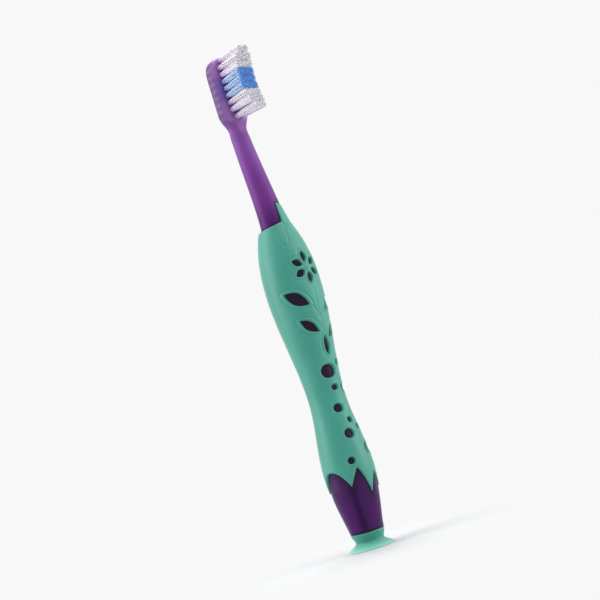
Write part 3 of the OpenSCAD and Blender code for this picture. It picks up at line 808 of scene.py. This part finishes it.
def sleeveRelief(flat, nearest, tight):
    # Raised lips round the windows, an engraved line round the leaves and the blossom, stems, and petals
    # at the top
    s = sleeveSet
    top = bodySet["sleeveTop"]
    lip = s["lip"] * np.exp(-((nearest - s["lipAt"]) / s["lipWidth"]) ** 2)
    lines = [[(angle, share * top) for angle, share in stem] for stem in s["stems"]]
    for middle in s["topPetals"]:
        line = []
        for t in np.linspace(-s["petalSweep"], s["petalSweep"], s["petalPoints"]):
            drop = s["petalStart"] + s["petalDrop"] * math.cos(t) ** s["petalPower"]
            line.append((middle + s["petalTurn"] * math.sin(t), highEdge(middle) - drop))
        lines.append(line)
    carved = np.where(flat[:, 1] > s["frameFrom"] * top, np.abs(nearest - s["frame"]), farAway)
    for line in lines:
        near = np.where(nearest > s["lineClear"], lineDistance(flat, line, s["lineReach"]), farAway)
        carved = np.minimum(carved, near)
    shortLine = [(-0.01, s["blossom"] * top), (0.01, s["blossom"] * top)]  # stands for a point
    heart = lineDistance(flat, shortLine, s["heartReach"])
    dome = s["heartRise"] * np.sqrt(np.clip(1 - (heart / s["heart"]) ** 2, 0, 1))
    groove = s["groove"] * np.exp(-(carved / s["grooveWidth"]) ** 2)
    return (lip - groove + dome) * smooth(tight / s["edgeFade"])


footSet = dict(
    width=14.4, height=5.1, flare=2.2, collar=10.5, throat=8.8, rimThick=0.35, rimWidth=0.45, hollow=1.4,
    # steps of [radius, height] round the lip's inner and outer lower edge, its top edge and the collar's
    lipInside=[(0, 0.03), (0.04, 0)], lipOutside=[(-0.12, 0), (-0.03, 0.04), (0, 0.12)],
    lipTop=[(0, -0.1), (-0.04, -0.01)], collarTop=[(-0.03, -0.04), (-0.12, 0), (-1.2, 0)],
    collarEdge=0.12,
    # points along each stretch, and where they begin or end: degrees round the hollow, and shares of the
    # cup and the collar
    hollowPoints=26, hollowEnd=88, cupPoints=18, cupStart=0.03, collarPoints=12, collarStart=0.08,
    flarePower=1.25, around=128,
)


def makeFoot(material):
    f = footSet
    rim, throat, collar = f["width"] / 2, f["throat"] / 2, f["collar"] / 2
    inner = rim - f["rimWidth"]
    line = [(inner * math.sin(math.radians(a)), f["hollow"] * math.cos(math.radians(a)))
            for a in np.linspace(0, f["hollowEnd"], f["hollowPoints"])]
    line += stepped(inner, 0, f["lipInside"]) + stepped(rim, 0, f["lipOutside"])
    line += stepped(rim, f["rimThick"], f["lipTop"])
    for t in np.linspace(f["cupStart"], 1, f["cupPoints"]):
        line.append((mix(throat, rim, (1 - t) ** f["flarePower"]), mix(f["rimThick"], f["flare"], t)))
    for t in np.linspace(f["collarStart"], 1, f["collarPoints"]):
        line.append((mix(throat, collar, smooth(t)), mix(f["flare"], f["height"] - f["collarEdge"], t)))
    line += stepped(collar, f["height"], f["collarTop"]) + [(0, f["height"])]
    bm = bmesh.new()
    points = [bm.verts.new((r, 0, z)) for r, z in line]
    edges = [bm.edges.new(pair) for pair in zip(points, points[1:])]
    bmesh.ops.spin(bm, geom=points + edges, cent=(0, 0, 0), axis=(0, 0, 1), angle=2 * math.pi,
                   steps=f["around"], use_merge=True)
    closeSeam(bm, gap=0.0005)
    piece = makePiece("foot_cup", bm, material, ["suction_foot"])
    print("suction foot:", len(piece.data.polygons), "faces")


def trimLength(z):
    first = toeZ - tuftSet["toeMargin"]
    half = tuftSet["rowPitch"] * (len(tuftSet["counts"]) - 1) / 2
    u = max(-1, min(1, (z - first + half) / half))
    return tuftSet["height"] + (tuftSet["toeRise"] if u > 0 else tuftSet["heelRise"]) * u * u


def filamentShape():
    # One straight filament along -Y from 0 to 1, with a rounded end. Its root, in the hole, stays open.
    t = tuftSet
    bm = bmesh.new()
    ring = bmesh.ops.create_circle(bm, segments=t["sides"], radius=t["filamentWidth"] / 2)["verts"]
    bmesh.ops.rotate(bm, verts=ring, matrix=Matrix.Rotation(math.radians(90), 3, "X"))
    edges = bm.edges[:]
    for place, width in t["profile"]:
        made = bmesh.ops.extrude_edge_only(bm, edges=edges)["geom"]
        fresh = [g for g in made if isinstance(g, bmesh.types.BMVert)]
        edges = [g for g in made if isinstance(g, bmesh.types.BMEdge)
                 and all(v in fresh for v in g.verts)]
        for v in fresh:
            grow = width * t["filamentWidth"] / 2 / math.hypot(v.co.x, v.co.z)
            v.co.x *= grow
            v.co.z *= grow
            v.co.y = -place
    bmesh.ops.contextual_create(bm, geom=edges)
    bmesh.ops.recalc_face_normals(bm, faces=bm.faces)
    mesh = bpy.data.meshes.new("filament")
    bm.to_mesh(mesh)
    bm.free()
    return mesh


def makeTufts(white, blue):
    t = tuftSet
    dice = random.Random(t["seed"])
    filament = filamentShape()
    halfWidth = t["filamentWidth"] / 2
    rootR = t["width"] / 2 - halfWidth - t["rootGap"]
    rootY = t["faceY"] + t["holeDepth"] - t["rootLift"]
    furthest = t["faceY"] - t["height"] - max(t["toeRise"], t["heelRise"])
    for row, name, x, z in tuftPlaces():
        bm = bmesh.new()
        lengthShare = bm.verts.layers.float.new("lengthShare")
        spin = dice.uniform(0, 360)
        for k in range(t["filaments"]):
            r = rootR * math.sqrt((k + 0.5) / t["filaments"])
            a = math.radians(spin + k * t["goldenTurn"])
            rx, rz = r * math.cos(a), r * math.sin(a)
            # the ends press against their neighbours, so the round bundle grows wide and half square
            grow = t["flare"] * mix(1, r / max(abs(rx), abs(rz)), t["squareShare"])
            tipX = rx * grow + dice.gauss(0, t["stray"])
            tipZ = min(rz * grow + dice.gauss(0, t["stray"]), toeZ - z - halfWidth)
            length = trimLength(z + tipZ) + dice.uniform(-t["uneven"], t["uneven"])
            tipY = max(furthest, t["faceY"] - length)
            twist = Matrix.Rotation(dice.uniform(0, t["twist"]), 3, "Y")
            start = len(bm.verts)
            bm.from_mesh(filament)
            bm.verts.ensure_lookup_table()
            for v in bm.verts[start:]:
                u = -v.co.y
                v[lengthShare] = u
                along = mix(rootY, tipY, u)
                out = max(0, (t["faceY"] - along) / (t["faceY"] - tipY))
                offset = twist @ Vector((v.co.x, 0, v.co.z))
                bend = 1 - (1 - out) ** t["bend"]
                v.co = (x + mix(rx, tipX, bend) + offset.x, along, z + mix(rz, tipZ, bend) + offset.z)
        isBlue = row in t["blueRows"]
        makePiece(f"bristles_row_{row:02d}_{name}", bm, blue if isBlue else white,
                  [f"tuft_row_{row:02d}_{name}"])
    print("tufts:", sum(t["counts"]), "of", t["filaments"], "filaments")


stageSet = dict(
    # the camera: degrees, metres and pixels
    turn=47, tilt=-5, lean=16.98, distance=0.390, focal=1272, frame=600, aimHeight=0.079,
    centre=(296.1, 297.3), sensor=36, clip=(0.01, 10),
    # the paper as it takes the light, the background that it shows outside the shadow's reach, and the
    # room's light
    paper="D4D4D4", background="F8F8F8", room="F4F6FA", ambient=0.47, paperGlow=0.1, floorSize=2.0,
    shadowReach=(0.008, 0.055),
    # lamps: to the camera's right, up and towards it, size in metres, and watts. The last one's shadow
    # falls towards the camera.
    lamps=[("softboxLeft", -0.55, 0.1, 0.02, (0.4, 0.9), 3.4),
           ("softboxRight", 0.55, 0.1, 0.04, (0.4, 0.9), 3.4),
           ("softboxTop", 0.2, 0.6, 0.2, (0.5, 0.5), 1.2),
           ("softboxBack", -0.21, 0.62, -0.2, (0.2, 0.2), 2.8)],
)


def seenStraight(tree):
    # 1 for rays that show the stage itself: to the camera, in gloss and through clear plastic
    rays = addNode(tree, "ShaderNodeLightPath")
    seen = maths(tree, "MAXIMUM", rays.outputs["Is Camera Ray"], rays.outputs["Is Glossy Ray"])
    return maths(tree, "MAXIMUM", seen, rays.outputs["Is Transmission Ray"])


def stagePaper():
    # White coated paper: bright and even, with a soft shadow near the brush
    material, tree = newMaterial("paperCoatedMatte")
    coordinates = addNode(tree, "ShaderNodeTexCoord")
    away = addNode(tree, "ShaderNodeVectorMath", {"operation": "LENGTH"},
                   {0: coordinates.outputs["Object"]})
    glow = ranged(tree, away.outputs["Value"], *stageSet["shadowReach"], low=stageSet["paperGlow"])
    share = maths(tree, "MULTIPLY", seenStraight(tree), glow)
    paper = addNode(tree, "ShaderNodeBsdfDiffuse", {"Color": fromHex(stageSet["paper"])})
    light = addNode(tree, "ShaderNodeEmission", {"Color": fromHex(stageSet["background"])})
    blend = addNode(tree, "ShaderNodeMixShader", {},
                    {0: share, 1: paper.outputs["BSDF"], 2: light.outputs["Emission"]})
    addNode(tree, "ShaderNodeOutputMaterial", links={"Surface": blend.outputs["Shader"]})
    return material


def stageWorld():
    world = bpy.data.worlds.new("studio")
    brushScene.world = world
    world.use_nodes = True
    tree = world.node_tree
    tree.nodes.clear()
    room = addNode(tree, "ShaderNodeBackground", {
        "Color": fromHex(stageSet["room"]), "Strength": stageSet["ambient"]})
    shown = addNode(tree, "ShaderNodeBackground", {"Color": fromHex(stageSet["background"])})
    blend = addNode(tree, "ShaderNodeMixShader", {},
                    {0: seenStraight(tree), 1: room.outputs["Background"], 2: shown.outputs["Background"]})
    addNode(tree, "ShaderNodeOutputWorld", links={"Surface": blend.outputs["Shader"]})


def viewAxes():
    # The camera's directions: towards it from the brush, its right and its up
    s = stageSet
    turn, tilt, lean = (math.radians(s[k]) for k in ("turn", "tilt", "lean"))
    level = Vector((-math.cos(turn), -math.sin(turn), 0))
    towards = level * math.cos(tilt) + Vector((0, 0, math.sin(tilt)))
    right = Vector((0, 0, 1)).cross(level)
    up = towards.cross(right)
    across, along = math.cos(lean), math.sin(lean)
    return towards, right * across - up * along, right * along + up * across


def makeCamera():
    s = stageSet
    towards, right, up = viewAxes()
    data = bpy.data.cameras.new("camera")
    data.sensor_width = s["sensor"]
    data.lens = s["sensor"] * s["focal"] / s["frame"]
    camera = bpy.data.objects.new("camera", data)
    brushScene.collection.objects.link(camera)
    perPixel = s["distance"] / s["focal"]
    aim = Vector((0, 0, s["aimHeight"])) + right * (s["frame"] / 2 - s["centre"][0]) * perPixel
    aim -= up * (s["frame"] / 2 - s["centre"][1]) * perPixel
    camera.matrix_world = Matrix.Translation(aim + towards * s["distance"]) @ Matrix(
        (right, up, towards)).transposed().to_4x4()
    data.clip_start, data.clip_end = s["clip"]
    brushScene.camera = camera


def addSoftbox(name, side, rise, forward, size, power):
    towards, right, up = viewAxes()
    data = bpy.data.lights.new(name, "AREA")
    data.shape = "RECTANGLE"
    data.size, data.size_y = size
    data.energy = power
    lamp = bpy.data.objects.new(name, data)
    brushScene.collection.objects.link(lamp)
    centre = Vector((0, 0, stageSet["aimHeight"]))
    place = centre + right * side + up * rise + towards * forward
    back = (place - centre).normalized()
    lamp.matrix_world = Matrix.Translation(place) @ back.to_track_quat("Z", "Y").to_matrix().to_4x4()


def makeStage():
    bm = bmesh.new()
    bmesh.ops.create_grid(bm, x_segments=1, y_segments=1, size=stageSet["floorSize"])
    mesh = bpy.data.meshes.new("floor")
    bm.to_mesh(mesh)
    bm.free()
    floor = bpy.data.objects.new("floor", mesh)
    brushScene.collection.objects.link(floor)
    mesh.materials.append(stagePaper())
    stageWorld()
    for lamp in stageSet["lamps"]:
        addSoftbox(*lamp)
    makeCamera()
    print("stage, lights and camera are set")


makeStage()
violet = mouldedPolypropylene()
tealRubber = softTouchRubber("rubberSoftTouchMoulded", "3B9987", "35907E")
# the foot's rubber, with painted light towards the floor
footRubber = softTouchRubber("rubberSoftMouldedPaintedLight", "3B9987", "35907E", paintedLight="8AD4C2", lightBelow=2.6)
# painted shade and violet reflection at the roots, and painted shade at the trimmed ends
whiteNylon = nylonFilament("nylonDrawnWhite", [
    (0.24, "C4A2D8"), (0.36, "DECCEA"), (0.6, "EFE6F4"),
    (0.95, "F1ECF5"), (0.985, "F0ECF3"), (1.0, "EEEAF1"),
])
blueNylon = nylonFilament("nylonDrawnBlue", [
    (0.24, "968EDA"), (0.34, "B0BCF0"), (0.6, "B6D0F6"),
    (0.95, "A8CAF6"), (0.985, "78ACF0"), (1.0, "6CA2EC"),
])
makeHandleBody(violet)
makeGripSleeve(tealRubber)
makeFoot(footRubber)
makeTufts(whiteNylon, blueNylon)
anchors = frame["nodes"]["tuft_anchors"]
anchors.data.materials.clear()
anchors.data.materials.append(stampedBrass())
